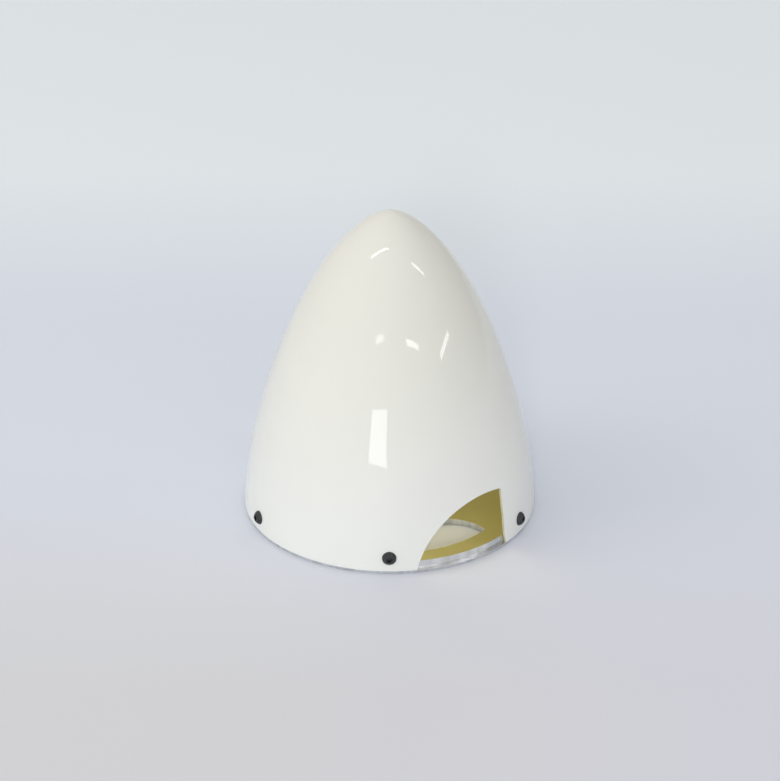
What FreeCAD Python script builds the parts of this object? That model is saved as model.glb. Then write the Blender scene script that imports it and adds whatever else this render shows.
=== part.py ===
import FreeCAD, Part
import math
import os

# Two-blade propeller spinner: a moulded glass-fibre dome screwed over a turned aluminium back plate.
# Millimetres. Z is the propeller shaft's axis, and z = 0 is the back plate's rear face.
# The blades leave along -Y and +Y. An azimuth is measured from -Y, positive towards +X.

# Dome: how full the skirt is and how blunt the nose is are the two exponents of its outline.
# Above the straight skirt it is a chain of tangent arcs, two to each span.
base_diameter = 228.6
dome_length = 234.5
dome_wall = 2.5
skirt_fullness = 1.475
nose_bluntness = 0.594
outline_spans = 5

# Blade openings in the dome: an arc over the blade's leading side and a nearly upright trailing edge
opening_arc_radius = 59.3
opening_arc_centre_x = 19.4
opening_arc_centre_z = -9.8
opening_edge_top_x = 35.1
opening_edge_foot_x = 37.7
opening_corner_radius = 1.0

# Back plate
lip_thickness = 2.5
floor_thickness = 5.0
flange_height = 21.0
flange_thickness = 2.3
flange_root_chamfer = 1.0
dome_fit_gap = 0.1
notch_sill_height = 8.3
notch_side_margin = 1.2
edge_break = 0.4

# Hub interface
pilot_bore_diameter = 47.0
bolt_circle_diameter = 101.6
bolt_hole_diameter = 8.5
bolt_count = 6
bolt_first_azimuth = 30.0

# Lightening holes under the blades: an arc towards the hub, closed by an arc beside the flange
rim_land = 15.6
hole_arc_radius = 33.1
hole_arc_centre_inset = 4.5
hole_corner_radius = 2.0

# Dome screws: M6 button heads with a hexagon socket
screw_count = 6
screw_first_azimuth = 30.0
screw_height = 13.0
thread_diameter = 6.0
screw_length = 12.0
head_diameter = 10.5
head_height = 3.3
head_rim_height = 0.6
head_crown_diameter = 5.6
socket_width = 4.0
socket_depth = 2.1
screw_hole_clearance = 0.2
thread_clearance = 0.05

# Anchor nuts inside the flange
strap_thickness = 1.2
strap_waist_radius = 6.4
lug_radius = 3.3
lug_pitch = 21.0
barrel_diameter = 9.8
barrel_length = 7.6

# Sizes that follow from those above
base_radius = base_diameter / 2
pilot_bore_radius = pilot_bore_diameter / 2
flange_outer_depth = dome_wall + dome_fit_gap
flange_inner_depth = flange_outer_depth + flange_thickness
strap_inner_depth = flange_inner_depth + strap_thickness
flange_inner_radius = base_radius - flange_inner_depth
skirt_rise = flange_height - lip_thickness
hole_outer_radius = flange_inner_radius - rim_land
hole_arc_centre_radius = hole_outer_radius - hole_arc_centre_inset
reach = base_diameter + dome_length

origin = FreeCAD.Vector(0, 0, 0)
x_axis = FreeCAD.Vector(1, 0, 0)
z_axis = FreeCAD.Vector(0, 0, 1)


# ---- dome's outline, which every piece beside it follows ----

def outline_radius(rise):
    """Outside radius of the dome at a rise above its bottom edge."""
    share = rise / dome_length
    return base_radius * (1 - share ** skirt_fullness) ** nose_bluntness


def outline_lean(rise):
    """Inward lean of the dome's outside at a rise, in radians from upright."""
    share = rise / dome_length
    filling = skirt_fullness * share ** (skirt_fullness - 1)
    closing = nose_bluntness * (1 - share ** skirt_fullness) ** (nose_bluntness - 1)
    return math.atan(filling * closing * base_radius / dome_length)


def skirt_lean():
    """Lean of the skirt and the flange, straight between the outline's foot and the flange's top."""
    return math.atan((base_radius - outline_radius(skirt_rise)) / skirt_rise)


def skirt_radius(height, depth):
    """Radius at a height of the cone that lies a depth inside the skirt's outside."""
    lean = skirt_lean()
    return base_radius - (height - lip_thickness) * math.tan(lean) - depth / math.cos(lean)


def section_point(radius, height):
    return FreeCAD.Vector(radius, 0, height)


def section_tangent(lean):
    return FreeCAD.Vector(-math.sin(lean), 0, math.cos(lean))


def tangent_arc(start, tangent, end):
    """Arc that leaves its start along a tangent and ends at a point."""
    chord = end - start
    inward = FreeCAD.Vector(-tangent.z, 0, tangent.x)
    radius = chord.dot(chord) / (2 * chord.dot(inward))
    centre = start + inward * radius
    to_middle = (start + end) * 0.5 - centre
    middle = centre + to_middle * (abs(radius) / to_middle.Length)
    return Part.Arc(start, middle, end).toShape()


def arc_pair(start, start_tangent, end, end_tangent):
    """Two arcs that join smoothly between two points and keep the tangent at each."""
    chord = end - start
    turn = 2 * (1 - start_tangent.dot(end_tangent))
    along = 2 * chord.dot(start_tangent + end_tangent)
    reach_of_each = (math.sqrt(along ** 2 + 4 * turn * chord.dot(chord)) - along) / (2 * turn)
    joint = (start + start_tangent * reach_of_each + end - end_tangent * reach_of_each) * 0.5
    return [tangent_arc(start, start_tangent, joint), tangent_arc(end, end_tangent * -1, joint)]


def dome_curve(depth):
    """Edges of the dome's section at a depth inside its outside, from the bottom edge to the tip."""
    first = math.asin((skirt_rise / dome_length) ** (skirt_fullness / 2))
    points = [skirt_corner(flange_height, depth)]
    tangents = [section_tangent(skirt_lean())]
    for index in range(1, outline_spans):
        angle = first + (math.pi / 2 - first) * index / outline_spans
        rise = dome_length * math.sin(angle) ** (2 / skirt_fullness)
        lean = outline_lean(rise)
        radius = outline_radius(rise) - depth * math.cos(lean)
        points.append(section_point(radius, lip_thickness + rise - depth * math.sin(lean)))
        tangents.append(section_tangent(lean))
    points.append(section_point(0, lip_thickness + dome_length - depth))
    tangents.append(-x_axis)
    edges = [line(skirt_corner(lip_thickness, depth), points[0])]
    for index in range(outline_spans):
        edges += arc_pair(points[index], tangents[index], points[index + 1], tangents[index + 1])
    return edges


def skirt_corner(height, depth):
    return section_point(skirt_radius(height, depth), height)


def edge_ends(edge):
    return edge.Vertexes[0].Point, edge.Vertexes[-1].Point


def line(start, end):
    return Part.LineSegment(start, end).toShape()


def turned(edges, angle=360.0, start_angle=0.0):
    """Solid turned about Z from a closed section in the XZ plane."""
    section = Part.Face(Part.Wire(Part.__sortEdges__(edges)))
    section.rotate(origin, z_axis, start_angle)
    return section.revolve(origin, z_axis, angle)


def outlined(corners):
    """Straight edges round a closed outline."""
    return [line(start, end) for start, end in zip(corners, corners[1:] + corners[:1])]


def turned_polygon(corners, angle=360.0, start_angle=0.0):
    """Solid turned about Z from the corners of its section."""
    return turned(outlined(corners), angle, start_angle)


def placed_on_skirt(shape, azimuth):
    """Shape made about Z, with z = 0 at the skirt's outside and +Z outwards, put at a screw's height."""
    placed = shape.copy()
    placed.rotate(origin, x_axis, 90 - math.degrees(skirt_lean()))
    placed.translate(FreeCAD.Vector(0, -skirt_radius(screw_height, 0), screw_height))
    placed.rotate(origin, z_axis, azimuth)
    return placed


def azimuths(count, first):
    return [first + 360.0 * index / count for index in range(count)]


# ---- cutters shared by the dome and the back plate ----

def opening_arc_height(x):
    """Height of the opening's arc at a distance x from the blade's axis."""
    across = x - opening_arc_centre_x
    return opening_arc_centre_z + math.sqrt(opening_arc_radius ** 2 - across ** 2)


def opening_foot_x():
    """Where the opening's arc comes down to the rear face's level."""
    return opening_arc_centre_x - math.sqrt(opening_arc_radius ** 2 - opening_arc_centre_z ** 2)


def opening_cutter():
    """Outline of the blade opening, carried out along -Y, with its upper corner rounded."""
    edge_top_z = opening_arc_height(opening_edge_top_x)
    arc_foot = FreeCAD.Vector(opening_foot_x(), 0, 0)
    arc_top = FreeCAD.Vector(opening_arc_centre_x, 0, opening_arc_centre_z + opening_arc_radius)
    edge_top = FreeCAD.Vector(opening_edge_top_x, 0, edge_top_z)
    edge_foot = FreeCAD.Vector(opening_edge_foot_x, 0, 0)
    edges = [
        Part.Arc(arc_foot, arc_top, edge_top).toShape(),
        line(edge_top, edge_foot),
        line(edge_foot, arc_foot),
    ]
    outline = Part.Face(Part.Wire(edges))
    cutter = outline.extrude(FreeCAD.Vector(0, -reach, 0))
    corners = []
    for edge in cutter.Edges:
        first, last = edge_ends(edge)
        if first.sub(last).Length > reach / 2 and abs(first.x - edge_top.x) < edge_break and first.z > 0:
            corners.append(edge)
    return cutter.makeFillet(opening_corner_radius, corners)


def on_both_blades(cutter):
    """The cutter for the -Y blade, and the same one turned round to the +Y blade."""
    other = cutter.copy()
    other.rotate(origin, z_axis, 180)
    return [cutter, other]


def screw_hole_cutters(azimuth_list):
    hole_radius = thread_diameter / 2 + screw_hole_clearance
    through = Part.makeCylinder(hole_radius, 2 * flange_inner_depth, origin, -z_axis)
    through.translate(FreeCAD.Vector(0, 0, flange_inner_depth / 2))
    return [placed_on_skirt(through, azimuth) for azimuth in azimuth_list]


# ---- pieces ----

def dome_shell():
    outside = dome_curve(0)
    inside = dome_curve(dome_wall)
    bottom = line(outside[0].Vertexes[0].Point, inside[0].Vertexes[0].Point)
    tip_height = lip_thickness + dome_length
    tip = line(section_point(0, tip_height), section_point(0, tip_height - dome_wall))
    dome = turned(outside + inside + [bottom, tip])
    cutters = on_both_blades(opening_cutter())
    cutters += screw_hole_cutters(azimuths(screw_count, screw_first_azimuth))
    return dome.cut(cutters)


def plate_blank():
    """Turned plate: floor with a chamfered pilot bore, lip under the dome and flange inside it."""
    flange_root_radius = skirt_radius(floor_thickness, flange_inner_depth)
    return turned_polygon([
        section_point(flange_root_radius - flange_root_chamfer, floor_thickness),
        section_point(pilot_bore_radius + edge_break, floor_thickness),
        section_point(pilot_bore_radius, floor_thickness - edge_break),
        section_point(pilot_bore_radius, edge_break),
        section_point(pilot_bore_radius + edge_break, 0),
        section_point(base_radius - edge_break, 0),
        section_point(base_radius, edge_break),
        section_point(base_radius, lip_thickness),
        skirt_corner(lip_thickness, flange_outer_depth),
        skirt_corner(flange_height, flange_outer_depth),
        skirt_corner(flange_height, flange_inner_depth),
        skirt_corner(floor_thickness + flange_root_chamfer, flange_inner_depth),
    ])


def lightening_hole_cutter():
    """Half-moon hole under the -Y blade, with rounded ends."""
    arc_centre = FreeCAD.Vector(0, -hole_arc_centre_radius, -floor_thickness)
    hub_side = Part.makeCylinder(hole_arc_radius, 3 * floor_thickness, arc_centre)
    plate_centre = FreeCAD.Vector(0, 0, -floor_thickness)
    rim_side = Part.makeCylinder(hole_outer_radius, 3 * floor_thickness, plate_centre)
    hole = hub_side.common(rim_side)
    tips = []
    for edge in hole.Edges:
        upright = edge.BoundBox.ZLength > floor_thickness
        at_tip = abs(edge.CenterOfMass.x) > hole_arc_radius / 2
        if upright and at_tip:
            tips.append(edge)
    return hole.makeFillet(hole_corner_radius, tips)


def notch_cutter():
    """Gap in the flange behind the -Y opening, down to a sill that joins its two sides."""
    low_x = opening_foot_x() - notch_side_margin
    high_x = opening_edge_foot_x + notch_side_margin
    corner = FreeCAD.Vector(low_x, -reach, notch_sill_height)
    return Part.makeBox(high_x - low_x, reach, flange_height, corner)


def bolt_hole_cutters():
    bolt_radius = bolt_circle_diameter / 2
    cutters = []
    for azimuth in azimuths(bolt_count, bolt_first_azimuth):
        cutter = Part.makeCylinder(bolt_hole_diameter / 2, 3 * floor_thickness)
        cutter.translate(FreeCAD.Vector(0, -bolt_radius, -floor_thickness))
        cutter.rotate(origin, z_axis, azimuth)
        cutters.append(cutter)
    return cutters


def backplate():
    cutters = on_both_blades(lightening_hole_cutter())
    cutters += on_both_blades(notch_cutter())
    cutters += bolt_hole_cutters()
    cutters += screw_hole_cutters(azimuths(screw_count, screw_first_azimuth))
    return plate_blank().cut(cutters)


def hexagon_prism(width, low, height):
    corner_radius = width / math.sqrt(3)
    corners = []
    for index in range(7):
        angle = math.radians(60 * index)
        corners.append(FreeCAD.Vector(corner_radius * math.cos(angle), corner_radius * math.sin(angle), low))
    return Part.Face(Part.makePolygon(corners)).extrude(z_axis * height)


def dome_screw():
    """Button-head screw about Z, with the underside of its head at z = 0 and a ball-shaped crown."""
    head_radius = head_diameter / 2
    crown_radius = head_crown_diameter / 2
    shank_radius = thread_diameter / 2
    rise = head_height - head_rim_height
    ball_centre = (head_height + head_rim_height) / 2 - (head_radius ** 2 - crown_radius ** 2) / (2 * rise)
    ball_radius = math.hypot(head_radius, head_rim_height - ball_centre)
    middle_x = (head_radius + crown_radius) / 2
    middle_z = ball_centre + math.sqrt(ball_radius ** 2 - middle_x ** 2)
    rim_top = section_point(head_radius, head_rim_height)
    crown_edge = section_point(crown_radius, head_height)
    corners = [
        crown_edge,
        section_point(0, head_height),
        section_point(0, -screw_length),
        section_point(shank_radius, -screw_length),
        section_point(shank_radius, 0),
        section_point(head_radius, 0),
        rim_top,
    ]
    edges = [line(start, end) for start, end in zip(corners, corners[1:])]
    edges.append(Part.Arc(rim_top, section_point(middle_x, middle_z), crown_edge).toShape())
    socket = hexagon_prism(socket_width, head_height - socket_depth, head_height)
    return turned(edges).cut(socket)


def strap_outline():
    """Lozenge about Z: a round waist with a round lug on each side, joined by tangents."""
    half_pitch = lug_pitch / 2
    tangent = math.acos((strap_waist_radius - lug_radius) / half_pitch)
    waist_x = strap_waist_radius * math.cos(tangent)
    waist_y = strap_waist_radius * math.sin(tangent)
    lug_x = half_pitch + lug_radius * math.cos(tangent)
    lug_y = lug_radius * math.sin(tangent)
    edges = []
    for side in (1, -1):
        for end in (1, -1):
            waist_corner = FreeCAD.Vector(end * waist_x, side * waist_y, 0)
            lug_corner = FreeCAD.Vector(end * lug_x, side * lug_y, 0)
            edges.append(line(waist_corner, lug_corner))
        edges.append(Part.Arc(
            FreeCAD.Vector(-waist_x, side * waist_y, 0),
            FreeCAD.Vector(0, side * strap_waist_radius, 0),
            FreeCAD.Vector(waist_x, side * waist_y, 0),
        ).toShape())
        edges.append(Part.Arc(
            FreeCAD.Vector(side * lug_x, lug_y, 0),
            FreeCAD.Vector(side * (half_pitch + lug_radius), 0, 0),
            FreeCAD.Vector(side * lug_x, -lug_y, 0),
        ).toShape())
    return Part.Wire(Part.__sortEdges__(edges))


def curved_strap():
    """Strap bent to the flange's inner face, about the azimuth 0 screw."""
    half_angle = 2 * math.degrees(lug_pitch / flange_inner_radius)
    bent_sheet = turned_polygon([
        skirt_corner(lip_thickness, flange_inner_depth),
        skirt_corner(flange_height, flange_inner_depth),
        skirt_corner(flange_height, strap_inner_depth),
        skirt_corner(lip_thickness, strap_inner_depth),
    ], 2 * half_angle, -90 - half_angle)
    blank = Part.Face(strap_outline()).extrude(-z_axis * 2 * strap_inner_depth)
    return bent_sheet.common(placed_on_skirt(blank, 0))


def anchor_nut():
    """Two-lug anchor nut behind the azimuth 0 screw: a curved strap with a threaded barrel."""
    foot_depth = flange_inner_depth + barrel_length
    barrel = Part.makeCylinder(barrel_diameter / 2, barrel_length - strap_thickness / 2)
    barrel.translate(FreeCAD.Vector(0, 0, -foot_depth))
    thread = Part.makeCylinder(thread_diameter / 2 + thread_clearance, 2 * screw_length, origin, -z_axis)
    return curved_strap().fuse(placed_on_skirt(barrel, 0)).cut(placed_on_skirt(thread, 0))


def turned_copies(shape):
    """One solid of a shape made at azimuth 0 for each dome screw."""
    copies = []
    for azimuth in azimuths(screw_count, screw_first_azimuth):
        copy = shape.copy()
        copy.rotate(origin, z_axis, azimuth)
        copies.append(copy)
    return Part.makeCompound(copies)


def build_parts():
    return {
        "dome_shell": dome_shell(),
        "backplate": backplate(),
        "dome_screws": turned_copies(placed_on_skirt(dome_screw(), 0)),
        "anchor_nuts": turned_copies(anchor_nut()),
    }


os.makedirs("parts", exist_ok=True)
for node, shape in build_parts().items():
    shape.exportStep(os.path.join("parts", node + ".step"))
    print(node, "valid", shape.isValid(), "solids", len(shape.Solids), "volume", round(shape.Volume, 1))
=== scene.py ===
import math

import bmesh
import bpy
from mathutils import Euler, Matrix, Vector


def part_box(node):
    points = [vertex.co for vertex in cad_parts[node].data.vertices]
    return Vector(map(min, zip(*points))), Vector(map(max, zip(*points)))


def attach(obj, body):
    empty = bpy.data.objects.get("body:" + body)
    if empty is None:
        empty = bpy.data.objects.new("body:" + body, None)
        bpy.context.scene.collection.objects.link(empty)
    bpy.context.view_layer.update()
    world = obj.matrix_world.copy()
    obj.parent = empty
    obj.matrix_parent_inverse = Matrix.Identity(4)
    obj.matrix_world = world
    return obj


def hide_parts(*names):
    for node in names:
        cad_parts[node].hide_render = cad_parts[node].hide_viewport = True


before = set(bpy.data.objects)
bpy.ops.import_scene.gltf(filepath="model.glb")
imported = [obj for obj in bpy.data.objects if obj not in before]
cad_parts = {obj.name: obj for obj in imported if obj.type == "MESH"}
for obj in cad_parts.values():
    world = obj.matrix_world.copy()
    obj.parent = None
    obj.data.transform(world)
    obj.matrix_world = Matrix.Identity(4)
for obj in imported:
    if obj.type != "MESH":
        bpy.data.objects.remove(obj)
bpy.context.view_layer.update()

# ---- sizes, in metres, worked out from the frame where it gives them ----

plate_low, plate_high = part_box("backplate")
dome_low, dome_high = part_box("dome_shell")
base_radius = (plate_high[0] - plate_low[0]) / 2
lip_top = dome_low[2]
dome_length = dome_high[2] - dome_low[2]
dome_wall = 0.0025
skirt_fullness = 1.475
nose_bluntness = 0.594

opening_arc_radius = 0.0593
opening_arc_centre = (0.0194, -0.0098)
opening_edge_top_x = 0.0351
opening_edge_foot_x = 0.0377
opening_corner_radius = 0.001
opening_flare_height = 0.0084
opening_flare = 0.0014
opening_foot = -0.002

screw_count = 6
screw_first_azimuth = 30.0
screw_height = 0.013
screw_hole_radius = 0.0032

# The anchor nuts' rivets, which the frame leaves out
skirt_rise = 0.0185
lug_depth = 0.0061
lug_pitch = 0.021
rivet_tail_radius = 0.0023
rivet_tail_height = 0.0011

turned_ring_pitch = 0.0007
cloth_pitch = 0.003

dome_segments = 320
outside_rings = 120
inside_rings = 60
arc_steps = 72
hole_steps = 48

# The photograph's camera: its azimuth, distance from the shaft's axis and height, in base radii
camera_azimuth = -30.0
camera_reach = 8.809 * base_radius
camera_height = 5.054 * base_radius
camera_tilt_down = 25.73
camera_roll = 0.27
camera_focal = 67.23
sensor_size = 36.0

lamp_colour = (0.95, 0.99, 1.06)
world_colour = (1.0, 0.985, 0.955)
world_strength = 0.75
world_dark_side = 0.42
dark_side_azimuth = 105.0
dark_side_start = 0.3
floor_front_left = (0.736, 0.744, 0.785)
floor_front_right = (0.738, 0.748, 0.840)
floor_middle = (0.765, 0.818, 0.935)
# Painted light: the table's lighter far colour, and the glow its far side gives to camera and glossy rays.
floor_far = (0.80, 0.86, 0.93)
painted_far_glow = (0.062, 0.070, 0.060)

key_power = 84.0
side_power = 56.0
inner_power = 0.24

# The lamps that the gloss shows stand this far off, so their highlights keep their directions
lamp_distance = 20.0
light_distance = 6.0
floor_half = 8.0


# ---- dome ----

def outline_radius(rise):
    share = min(max(rise / dome_length, 0.0), 1.0)
    return base_radius * (1 - share ** skirt_fullness) ** nose_bluntness


def outline_lean(rise):
    """Inward lean of the dome's outside at a rise above its bottom edge, in radians from upright."""
    share = min(max(rise / dome_length, 0.0), 1.0)
    if share >= 1.0:
        return math.pi / 2
    filling = skirt_fullness * share ** (skirt_fullness - 1)
    closing = nose_bluntness * (1 - share ** skirt_fullness) ** (nose_bluntness - 1)
    return math.atan(filling * closing * base_radius / dome_length)


def section(rings, depth):
    """Points (radius, height) of the dome's section at a depth inside its outside, foot to tip."""
    points = []
    for index in range(rings):
        angle = math.pi / 2 * index / rings
        rise = dome_length * math.sin(angle) ** (2 / skirt_fullness)
        lean = outline_lean(rise)
        radius = outline_radius(rise) - depth * math.cos(lean)
        points.append((radius, lip_top + rise - depth * math.sin(lean)))
    points.append((0.0, lip_top + dome_length - depth))
    return points


def around(azimuth, radius, height):
    """Point at an azimuth in degrees, measured from -Y towards +X."""
    angle = math.radians(azimuth)
    return Vector((radius * math.sin(angle), -radius * math.cos(angle), height))


def add_surface(mesh, points):
    """Rings of vertices about Z for a section that ends on the axis. Returns them as lists."""
    rings = []
    for radius, height in points[:-1]:
        ring = []
        for step in range(dome_segments):
            ring.append(mesh.verts.new(around(360 * step / dome_segments, radius, height)))
        rings.append(ring)
    tip = mesh.verts.new((0, 0, points[-1][1]))
    return rings, tip


def skin(mesh, rings, tip, outwards):
    """Faces over the rings and round the tip, facing outwards or inwards."""
    for lower, upper in zip(rings, rings[1:]):
        for step in range(dome_segments):
            after = (step + 1) % dome_segments
            corners = [lower[step], lower[after], upper[after], upper[step]]
            mesh.faces.new(corners if outwards else corners[::-1])
    for step in range(dome_segments):
        corners = [rings[-1][step], rings[-1][(step + 1) % dome_segments], tip]
        mesh.faces.new(corners if outwards else corners[::-1])


def object_from(mesh, name):
    data = bpy.data.meshes.new(name)
    mesh.to_mesh(data)
    mesh.free()
    made = bpy.data.objects.new(name, data)
    bpy.context.scene.collection.objects.link(made)
    return made


def whole_dome():
    mesh = bmesh.new()
    outside, outside_tip = add_surface(mesh, section(outside_rings, 0))
    inside, inside_tip = add_surface(mesh, section(inside_rings, dome_wall))
    skin(mesh, outside, outside_tip, True)
    skin(mesh, inside, inside_tip, False)
    for step in range(dome_segments):
        after = (step + 1) % dome_segments
        mesh.faces.new([inside[0][step], inside[0][after], outside[0][after], outside[0][step]])
    return object_from(mesh, "dome")


def opening_outline():
    """Corners (x, z) of a blade opening: the arc over it, a small round corner and the upright edge."""
    centre_x, centre_z = opening_arc_centre
    foot_angle = math.pi - math.asin((opening_foot - centre_z) / opening_arc_radius)
    top_angle = math.acos((opening_edge_top_x - centre_x) / opening_arc_radius)
    points = []
    for step in range(arc_steps + 1):
        angle = foot_angle + (top_angle - foot_angle) * step / arc_steps
        points.append(Vector((
            centre_x + opening_arc_radius * math.cos(angle),
            centre_z + opening_arc_radius * math.sin(angle),
        )))
    corner = points.pop()
    edge_foot = Vector((opening_edge_foot_x, opening_foot))
    before = corner + (points[-1] - corner).normalized() * opening_corner_radius
    after = corner + (edge_foot - corner).normalized() * opening_corner_radius
    while (points[-1] - corner).length < opening_corner_radius:
        points.pop()
    for share in (0.0, 0.25, 0.5, 0.75, 1.0):
        points.append(before.lerp(corner, share).lerp(corner.lerp(after, share), share))
    share = (opening_flare_height - opening_foot) / (corner.y - opening_foot)
    points.append(edge_foot.lerp(corner, share))
    points.append(edge_foot.lerp(corner, share / 2) + Vector((0.8 * opening_flare, 0)))
    points.append(edge_foot + Vector((opening_flare, 0)))
    return points


def add_prism(mesh, outline, place, length):
    """Closed prism on a flat outline, carried along +Z by a length and then put in place."""
    low = [mesh.verts.new(place @ Vector((x, y, 0))) for x, y in outline]
    high = [mesh.verts.new(place @ Vector((x, y, length))) for x, y in outline]
    for index in range(len(outline)):
        after = (index + 1) % len(outline)
        mesh.faces.new([low[index], low[after], high[after], high[index]])
    mesh.faces.new(low[::-1])
    mesh.faces.new(high)


def dome_cutter():
    """Everything that is cut out of the dome: two blade openings and six screw holes."""
    mesh = bmesh.new()
    outline = opening_outline()
    reach = 2 * base_radius
    for turn in (0, 180):
        place = Matrix.Rotation(math.radians(turn), 4, "Z") @ Matrix.Rotation(math.radians(90), 4, "X")
        add_prism(mesh, outline, place, reach)
    circle = []
    for step in range(hole_steps):
        angle = 2 * math.pi * step / hole_steps
        circle.append(Vector((screw_hole_radius * math.cos(angle), screw_hole_radius * math.sin(angle))))
    rise = screw_height - lip_top
    lean = outline_lean(rise)
    for index in range(screw_count):
        azimuth = math.radians(screw_first_azimuth + 360 * index / screw_count)
        place = Matrix.Rotation(azimuth, 4, "Z")
        place = place @ Matrix.Translation((0, -outline_radius(rise), screw_height))
        place = place @ Matrix.Rotation(math.pi / 2 - lean, 4, "X")
        place = place @ Matrix.Translation((0, 0, -4 * dome_wall))
        add_prism(mesh, circle, place, 8 * dome_wall)
    bmesh.ops.recalc_face_normals(mesh, faces=mesh.faces)
    return object_from(mesh, "dome_cutter")


def surface_normal(point, depth):
    """Outward normal of the dome's layer through a point, from the formula and not from the facets."""
    rise = point.z - lip_top
    lean = outline_lean(rise + depth * math.sin(outline_lean(rise)))
    flat = Vector((point.x, point.y, 0))
    if flat.length < 1e-6:
        return Vector((0, 0, 1))
    return flat.normalized() * math.cos(lean) + Vector((0, 0, math.sin(lean)))


def finish_dome(dome, materials):
    """Gives each face its skin's material and each corner the true normal of that skin."""
    for material in materials:
        dome.data.materials.append(material)
    centre = Vector((0, 0, 0.16 * dome_length))
    normals = []
    for face in dome.data.polygons:
        facing = face.normal.dot((face.center - centre).normalized())
        if facing > 0.5:
            face.material_index = 0
        elif facing < -0.5:
            face.material_index = 1
        else:
            face.material_index = 2
        face.use_smooth = True
        for corner in face.loop_indices:
            point = dome.data.vertices[dome.data.loops[corner].vertex_index].co
            if face.material_index == 0:
                normals.append(surface_normal(point, 0))
            elif face.material_index == 1:
                normals.append(-surface_normal(point, dome_wall))
            else:
                normals.append(face.normal.copy())
    dome.data.normals_split_custom_set(normals)


def make_dome(materials):
    dome = whole_dome()
    cutter = dome_cutter()
    cut = dome.modifiers.new("openings", "BOOLEAN")
    cut.operation = "DIFFERENCE"
    cut.solver = "EXACT"
    cut.object = cutter
    bpy.context.view_layer.update()
    evaluated = dome.evaluated_get(bpy.context.evaluated_depsgraph_get())
    cut_mesh = bpy.data.meshes.new_from_object(evaluated)
    dome.modifiers.clear()
    dome.data = cut_mesh
    dome.data.materials.clear()
    bpy.data.objects.remove(cutter)
    finish_dome(dome, materials)
    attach(dome, "root")
    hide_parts("dome_shell")
    return dome


# ---- materials ----

class Nodes:
    """A material's node tree, with short ways to add and join its nodes."""

    def __init__(self, name):
        self.material = bpy.data.materials.new(name)
        self.material.use_nodes = True
        self.tree = self.material.node_tree
        self.shader = self.tree.nodes["Principled BSDF"]
        self.place = self.add("ShaderNodeTexCoord").outputs["Object"]

    def add(self, kind, **settings):
        node = self.tree.nodes.new(kind)
        for name, value in settings.items():
            setattr(node, name, value)
        return node

    def join(self, source, target):
        self.tree.links.new(source, target)

    def set(self, **values):
        for name, value in values.items():
            self.shader.inputs[name.replace("_", " ")].default_value = value

    def noise(self, scale, detail=2.0, stretch=(1, 1, 1)):
        """Noise of about one blob per 1 / scale metres, stretched along each axis."""
        mapping = self.add("ShaderNodeMapping")
        mapping.inputs["Scale"].default_value = stretch
        self.join(self.place, mapping.inputs["Vector"])
        noise = self.add("ShaderNodeTexNoise")
        noise.inputs["Scale"].default_value = scale
        noise.inputs["Detail"].default_value = detail
        self.join(mapping.outputs["Vector"], noise.inputs["Vector"])
        return noise.outputs["Fac"]

    def span(self, source, low, high, out_low, out_high):
        """Source carried from one range to another."""
        node = self.add("ShaderNodeMapRange")
        self.join(source, node.inputs["Value"])
        node.inputs["From Min"].default_value = low
        node.inputs["From Max"].default_value = high
        node.inputs["To Min"].default_value = out_low
        node.inputs["To Max"].default_value = out_high
        return node.outputs["Result"]

    def math(self, operation, first, second=0.0):
        node = self.add("ShaderNodeMath", operation=operation)
        for socket, value in zip(node.inputs, (first, second)):
            if isinstance(value, (int, float)):
                socket.default_value = value
            else:
                self.join(value, socket)
        return node.outputs[0]

    def mix(self, factor, first, second):
        node = self.add("ShaderNodeMix", data_type="RGBA")
        if isinstance(factor, (int, float)):
            node.inputs["Factor"].default_value = factor
        else:
            self.join(factor, node.inputs["Factor"])
        for socket, value in ((node.inputs[6], first), (node.inputs[7], second)):
            if isinstance(value, tuple):
                socket.default_value = (*value, 1)
            else:
                self.join(value, socket)
        return node.outputs[2]

    def bump(self, height, distance, strength=1.0, onto=None):
        node = self.add("ShaderNodeBump")
        node.inputs["Distance"].default_value = distance
        node.inputs["Strength"].default_value = strength
        self.join(height, node.inputs["Height"])
        if onto is not None:
            self.join(onto, node.inputs["Normal"])
        return node.outputs["Normal"]

    def finish(self, colour=None, roughness=None, normal=None):
        for name, value in (("Base Color", colour), ("Roughness", roughness), ("Normal", normal)):
            if value is not None:
                self.join(value, self.shader.inputs[name])
        return self.material

    def ring_distance(self):
        """Distance from the shaft's axis."""
        split = self.add("ShaderNodeSeparateXYZ")
        self.join(self.place, split.inputs["Vector"])
        across = self.math("MULTIPLY", split.outputs["X"], split.outputs["X"])
        along = self.math("MULTIPLY", split.outputs["Y"], split.outputs["Y"])
        return self.math("SQRT", self.math("ADD", across, along))


def gelcoat():
    """White polyester gelcoat: glossy, slightly cream, with faint waves from the laminate under it. Its
    colour also carries painted shade: darker and warmer towards the nose, lighter and cooler at the foot.
    """
    nodes = Nodes("gelcoat")
    nodes.set(IOR=1.5, Specular_Tint=(1.0, 0.985, 0.90, 1))
    split = nodes.add("ShaderNodeSeparateXYZ")
    nodes.join(nodes.place, split.inputs["Vector"])
    # Painted shade: the colour runs from a lighter, cooler foot to a darker, warmer nose, standing in for how
    # the light falls on the dome.
    painted_shade_towards_nose = nodes.span(split.outputs["Z"], 0.03, 0.17, 0, 1)
    tint = nodes.span(nodes.noise(9, 3), 0.35, 0.65, 0, 1)
    foot = nodes.mix(tint, (0.832, 0.842, 0.820), (0.844, 0.856, 0.834))
    nose = nodes.mix(tint, (0.784, 0.780, 0.724), (0.797, 0.794, 0.738))
    colour = nodes.mix(painted_shade_towards_nose, foot, nose)
    roughness = nodes.span(nodes.noise(40, 4), 0.3, 0.7, 0.018, 0.035)
    waves = nodes.bump(nodes.noise(45, 1, (1, 1, 0.35)), 0.00035)
    peel = nodes.bump(nodes.noise(420, 2), 0.000002, 1.0, waves)
    return nodes.finish(colour, roughness, peel)


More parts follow.
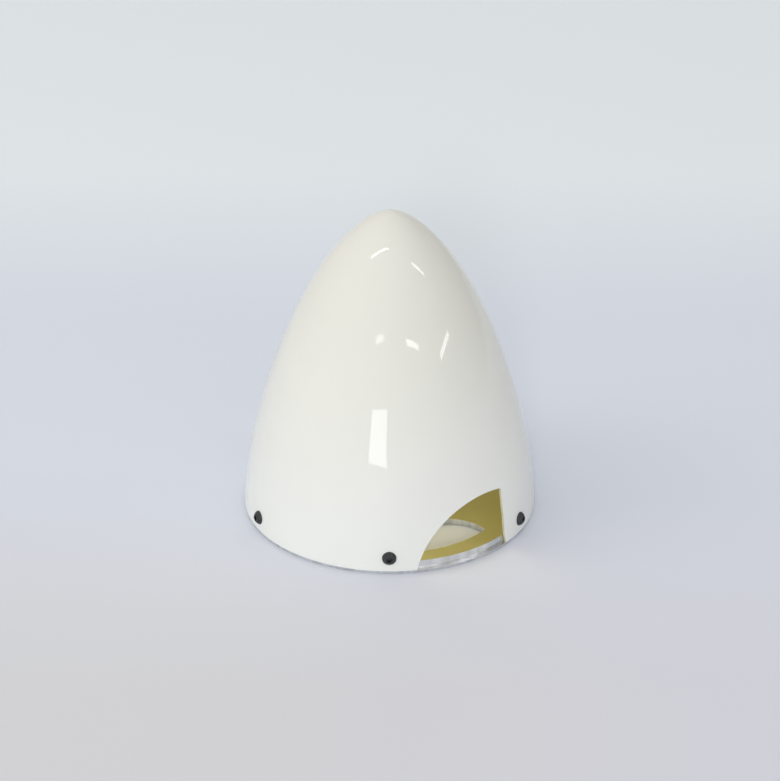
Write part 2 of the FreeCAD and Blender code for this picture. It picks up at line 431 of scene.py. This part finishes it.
def laminate():
    """Bare inside of the glass-fibre laminate: olive-yellow resin over a woven cloth."""
    nodes = Nodes("laminate")
    nodes.set(IOR=1.5)
    tint = nodes.span(nodes.noise(22, 4), 0.3, 0.7, 0, 1)
    colour = nodes.mix(tint, (0.520, 0.465, 0.180), (0.580, 0.525, 0.225))
    roughness = nodes.span(nodes.noise(60, 3), 0.3, 0.7, 0.28, 0.45)
    split = nodes.add("ShaderNodeSeparateXYZ")
    nodes.join(nodes.place, split.inputs["Vector"])
    weft = nodes.math("SINE", nodes.math("MULTIPLY", split.outputs["Z"], 2 * math.pi / cloth_pitch))
    turn = nodes.math("ARCTAN2", split.outputs["X"], split.outputs["Y"])
    warp = nodes.math("SINE", nodes.math("MULTIPLY", turn, 210.0))
    weave = nodes.math("MULTIPLY", weft, warp)
    return nodes.finish(colour, roughness, nodes.bump(weave, 0.00012))


def cut_edge():
    """Trimmed edge of the laminate under the gelcoat, sawn and sanded."""
    nodes = Nodes("cut_edge")
    nodes.set(IOR=1.5)
    tint = nodes.span(nodes.noise(300, 4), 0.3, 0.7, 0, 1)
    colour = nodes.mix(tint, (0.72, 0.68, 0.50), (0.82, 0.79, 0.64))
    return nodes.finish(colour, nodes.span(tint, 0, 1, 0.5, 0.7), nodes.bump(nodes.noise(900, 3), 0.00008))


def turned_aluminium():
    """Bright aluminium with the fine rings that facing in a lathe leaves. Its upright faces carry painted
    reflection as darker streaks, and painted shade and reflection towards the lip.
    """
    nodes = Nodes("turned_aluminium")
    nodes.set(Metallic=1.0)
    distance = nodes.ring_distance()
    wander = nodes.math("MULTIPLY", nodes.noise(14, 2), 0.0006)
    turns = nodes.math("MULTIPLY", nodes.math("ADD", distance, wander), 2 * math.pi / turned_ring_pitch)
    rings = nodes.math("SINE", turns)
    tint = nodes.span(nodes.noise(35, 4), 0.3, 0.7, 0, 1)
    bright = nodes.mix(tint, (0.80, 0.81, 0.83), (0.86, 0.87, 0.88))
    facing = nodes.add("ShaderNodeSeparateXYZ")
    nodes.join(nodes.add("ShaderNodeNewGeometry").outputs["Normal"], facing.inputs["Vector"])
    upright = nodes.span(nodes.math("ABSOLUTE", facing.outputs["Z"]), 0.2, 0.6, 1, 0)
    # Painted reflection: darker streaks on upright faces stand in for the streaky reflections in the flange.
    streaks = nodes.span(nodes.noise(170, 4, (1, 1, 0.06)), 0.42, 0.62, 0, 0.4)
    # Painted shade and reflection: upright faces darken towards the lip. This stands in for the shade in the
    # corner between flange and lip, and for the darker table and lip that the flange reflects.
    height = nodes.add("ShaderNodeSeparateXYZ")
    nodes.join(nodes.place, height.inputs["Vector"])
    corner = nodes.span(height.outputs["Z"], 0.0022, 0.0052, 0.2, 0)
    # Painted shade and reflection, only on upright faces: the streaks and the darkening towards the lip
    # together.
    painted_shade_and_reflection = nodes.math("MULTIPLY", upright, nodes.math("ADD", streaks, corner))
    colour = nodes.mix(painted_shade_and_reflection, bright, (0.42, 0.44, 0.45))
    roughness = nodes.span(nodes.noise(70, 4), 0.3, 0.7, 0.16, 0.26)
    return nodes.finish(colour, roughness, nodes.bump(rings, 0.000006))


def black_oxide():
    """Blackened steel screw, a little worn to grey."""
    nodes = Nodes("black_oxide")
    nodes.set(Metallic=0.6, IOR=1.5)
    tint = nodes.span(nodes.noise(900, 4), 0.4, 0.7, 0, 1)
    colour = nodes.mix(tint, (0.040, 0.041, 0.044), (0.075, 0.076, 0.080))
    roughness = nodes.span(nodes.noise(600, 3), 0.3, 0.7, 0.32, 0.46)
    return nodes.finish(colour, roughness, nodes.bump(nodes.noise(2500, 2), 0.00002))


def plated_steel():
    """Cadmium-plated anchor nut, faintly yellow."""
    nodes = Nodes("plated_steel")
    nodes.set(Metallic=1.0)
    tint = nodes.span(nodes.noise(400, 4), 0.35, 0.65, 0, 1)
    colour = nodes.mix(tint, (0.55, 0.52, 0.40), (0.66, 0.62, 0.46))
    return nodes.finish(colour, nodes.span(tint, 0, 1, 0.28, 0.42), nodes.bump(nodes.noise(1800, 2), 0.00002))


def rivet_metal():
    """Soft aluminium rivet, dulled by the bucking bar."""
    nodes = Nodes("rivet_metal")
    nodes.set(Metallic=1.0)
    tint = nodes.span(nodes.noise(700, 3), 0.35, 0.65, 0, 1)
    colour = nodes.mix(tint, (0.66, 0.66, 0.66), (0.76, 0.76, 0.77))
    return nodes.finish(colour, nodes.span(tint, 0, 1, 0.35, 0.5), nodes.bump(nodes.noise(1500, 2), 0.00003))


def make_lug_rivets(material):
    """Rounded tails of the two rivets beside each anchor nut's barrel."""
    lean = math.atan((base_radius - outline_radius(skirt_rise)) / skirt_rise)
    seat_radius = base_radius - (screw_height - lip_top) * math.tan(lean) - lug_depth / math.cos(lean)
    spread = math.degrees(math.asin(lug_pitch / 2 / seat_radius))
    steps = 28
    profile = [(1.0, -0.3), (1.0, 0.35), (0.94, 0.7), (0.78, 0.93), (0.45, 1.0)]
    mesh = bmesh.new()
    for number in range(screw_count):
        for side in (-spread, spread):
            azimuth = screw_first_azimuth + 360 * number / screw_count + side
            seat = around(azimuth, seat_radius, screw_height)
            inwards = -around(azimuth, math.cos(lean), math.sin(lean))
            inwards.z = -math.sin(lean)
            turn = inwards.to_track_quat("Z", "Y").to_matrix()
            rings = []
            for across, rise in profile:
                ring = []
                for step in range(steps):
                    angle = 2 * math.pi * step / steps
                    spot = Vector((math.cos(angle) * across * rivet_tail_radius,
                                   math.sin(angle) * across * rivet_tail_radius, rise * rivet_tail_height))
                    ring.append(mesh.verts.new(seat + turn @ spot))
                rings.append(ring)
            for lower, upper in zip(rings, rings[1:]):
                for step in range(steps):
                    after = (step + 1) % steps
                    mesh.faces.new([lower[step], lower[after], upper[after], upper[step]])
            mesh.faces.new(rings[-1])
            mesh.faces.new(rings[0][::-1])
    for face in mesh.faces:
        face.smooth = len(face.verts) == 4
    rivets = object_from(mesh, "lug_rivets")
    rivets.data.materials.append(material)
    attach(rivets, "root")


def dress(node, material):
    """Gives a CAD node its finish."""
    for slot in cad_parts[node].material_slots:
        slot.material = material


# ---- stage ----

def floor_material():
    """Pale blue-grey table, a little lighter towards its far side and greyer in front. The lighter far side
    and the glow it gives to camera and glossy rays are painted light.
    """
    nodes = Nodes("table")
    split = nodes.add("ShaderNodeSeparateXYZ")
    nodes.join(nodes.place, split.inputs["Vector"])
    away = around(camera_azimuth, 1.0, 0)
    along = nodes.math("ADD", nodes.math("MULTIPLY", split.outputs["X"], -away.x),
                       nodes.math("MULTIPLY", split.outputs["Y"], -away.y))
    right = around(camera_azimuth + 90, 1.0, 0)
    across = nodes.math("ADD", nodes.math("MULTIPLY", split.outputs["X"], right.x),
                        nodes.math("MULTIPLY", split.outputs["Y"], right.y))
    front = nodes.mix(nodes.span(across, -0.1, 0.2, 0, 1), floor_front_left, floor_front_right)
    near = nodes.mix(nodes.span(along, -0.25, 0.05, 0, 1), front, floor_middle)
    # Painted light: the far side is painted lighter and glows for camera and glossy rays, though it is no
    # lamp.
    far = nodes.span(along, 0.35, 0.85, 0, 1)
    colour = nodes.mix(far, near, floor_far)
    grain = nodes.span(nodes.noise(160, 3), 0.3, 0.7, 0.55, 0.65)
    path = nodes.add("ShaderNodeLightPath")
    seen = nodes.math("MAXIMUM", path.outputs["Is Camera Ray"], path.outputs["Is Glossy Ray"])
    nodes.set(Emission_Color=(*painted_far_glow, 1))
    nodes.join(nodes.math("MULTIPLY", seen, far), nodes.shader.inputs["Emission Strength"])
    return nodes.finish(colour, grain)


def make_floor():
    mesh = bmesh.new()
    signs = [(-1, -1), (1, -1), (1, 1), (-1, 1)]
    corners = [(floor_half * x, floor_half * y) for x, y in signs]
    mesh.faces.new([mesh.verts.new((x, y, 0)) for x, y in corners])
    floor = object_from(mesh, "floor")
    floor.data.materials.append(floor_material())


def make_world():
    world = bpy.data.worlds.new("studio")
    bpy.context.scene.world = world
    world.use_nodes = True
    tree = world.node_tree
    background = tree.nodes["Background"]
    background.inputs["Color"].default_value = (*world_colour, 1)
    direction = tree.nodes.new("ShaderNodeTexCoord")
    towards = tree.nodes.new("ShaderNodeVectorMath")
    towards.operation = "DOT_PRODUCT"
    towards.inputs[1].default_value = around(camera_azimuth + dark_side_azimuth, 1.0, 0)
    strength = tree.nodes.new("ShaderNodeMapRange")
    strength.interpolation_type = "SMOOTHSTEP"
    strength.inputs["From Min"].default_value = dark_side_start
    strength.inputs["From Max"].default_value = 1.0
    strength.inputs["To Min"].default_value = world_strength
    strength.inputs["To Max"].default_value = world_dark_side
    tree.links.new(direction.outputs["Generated"], towards.inputs[0])
    tree.links.new(towards.outputs["Value"], strength.inputs["Value"])
    tree.links.new(strength.outputs["Result"], background.inputs["Strength"])


def from_camera(azimuth, elevation, distance):
    """Point seen from the dome, at an azimuth counted from the camera's and an elevation, in degrees."""
    flat = math.cos(math.radians(elevation)) * distance
    rise = math.sin(math.radians(elevation)) * distance
    return around(camera_azimuth + azimuth, flat, rise)


def area_light(name, azimuth, elevation, distance, width, height, watts, colour):
    """Soft area light aimed at the dome's middle."""
    light = bpy.data.lights.new(name, "AREA")
    light.shape = "RECTANGLE"
    light.size = width
    light.size_y = height
    light.energy = watts
    light.color = colour
    made = bpy.data.objects.new(name, light)
    bpy.context.scene.collection.objects.link(made)
    aim = Vector((0, 0, dome_length / 2))
    made.location = from_camera(azimuth, elevation, distance) + aim
    turn = (aim - made.location).to_track_quat("-Z", "Y").to_matrix().to_4x4()
    made.matrix_world = Matrix.Translation(made.location) @ turn
    return made


def lamp(name, start, end, width, brightness):
    """Straight lamp that only gloss shows, between two directions (azimuth, elevation) in degrees."""
    first = from_camera(*start, lamp_distance)
    last = from_camera(*end, lamp_distance)
    along = (last - first).normalized()
    back = (first + last).normalized()
    light = bpy.data.lights.new(name, "AREA")
    light.shape = "RECTANGLE"
    light.size = (last - first).length
    light.size_y = math.radians(width) * lamp_distance
    light.energy = brightness * math.pi * light.size * light.size_y
    light.color = lamp_colour
    made = bpy.data.objects.new(name, light)
    bpy.context.scene.collection.objects.link(made)
    turn = Matrix((along, back.cross(along), back)).transposed().to_4x4()
    made.matrix_world = Matrix.Translation((first + last) / 2 + Vector((0, 0, dome_length / 2))) @ turn
    made.visible_camera = False
    made.visible_diffuse = False
    made.visible_transmission = False


def make_lamps():
    """A soft box in front, two small lamps over it and three tubes, as bare studio lamps."""
    lamp("soft_box", (-9, 2), (-9, 14), 15, 4.5)
    lamp("small_lamp_left", (-17, 29), (-9, 30), 2, 4)
    lamp("small_lamp_right", (21, 29), (34, 26), 2, 6)
    lamp("tube_left", (-60, 55), (-8, 69), 2, 8)
    lamp("tube_right", (60, 52), (74, 40), 2, 7)
    lamp("tube_far", (58, 19), (75, 20), 2, 6)


def make_lights():
    key = area_light("key", -5, 16, light_distance, 0.8, 0.8, key_power, (0.95, 0.98, 1.0))
    side = area_light("side", -76, 30, light_distance, 3.6, 3.6, side_power, (1.0, 0.97, 0.90))
    for light in (key, side):
        light.visible_glossy = False
        light.visible_camera = False
    inner = bpy.data.lights.new("through_wall", "POINT")
    inner.energy = inner_power
    inner.color = (1.0, 0.97, 0.90)
    inner.shadow_soft_size = 0.05
    made = bpy.data.objects.new("through_wall", inner)
    made.location = (0, 0, 0.55 * dome_length)
    made.visible_glossy = False
    made.visible_camera = False
    bpy.context.scene.collection.objects.link(made)


def make_camera():
    data = bpy.data.cameras.new("camera")
    data.lens = camera_focal
    data.sensor_width = sensor_size
    camera = bpy.data.objects.new("camera", data)
    bpy.context.scene.collection.objects.link(camera)
    camera.location = around(camera_azimuth, camera_reach, camera_height)
    aim = Euler((math.radians(90 - camera_tilt_down), 0, math.radians(camera_azimuth)), "XYZ")
    turn = aim.to_matrix().to_4x4()
    roll = Matrix.Rotation(math.radians(camera_roll), 4, "Z")
    camera.matrix_world = Matrix.Translation(camera.location) @ turn @ roll
    bpy.context.scene.camera = camera


make_dome([gelcoat(), laminate(), cut_edge()])
dress("backplate", turned_aluminium())
dress("dome_screws", black_oxide())
dress("anchor_nuts", plated_steel())
make_lug_rivets(rivet_metal())

make_floor()
make_world()
make_lights()
make_lamps()
make_camera()
bpy.context.scene.view_settings.view_transform = "Standard"
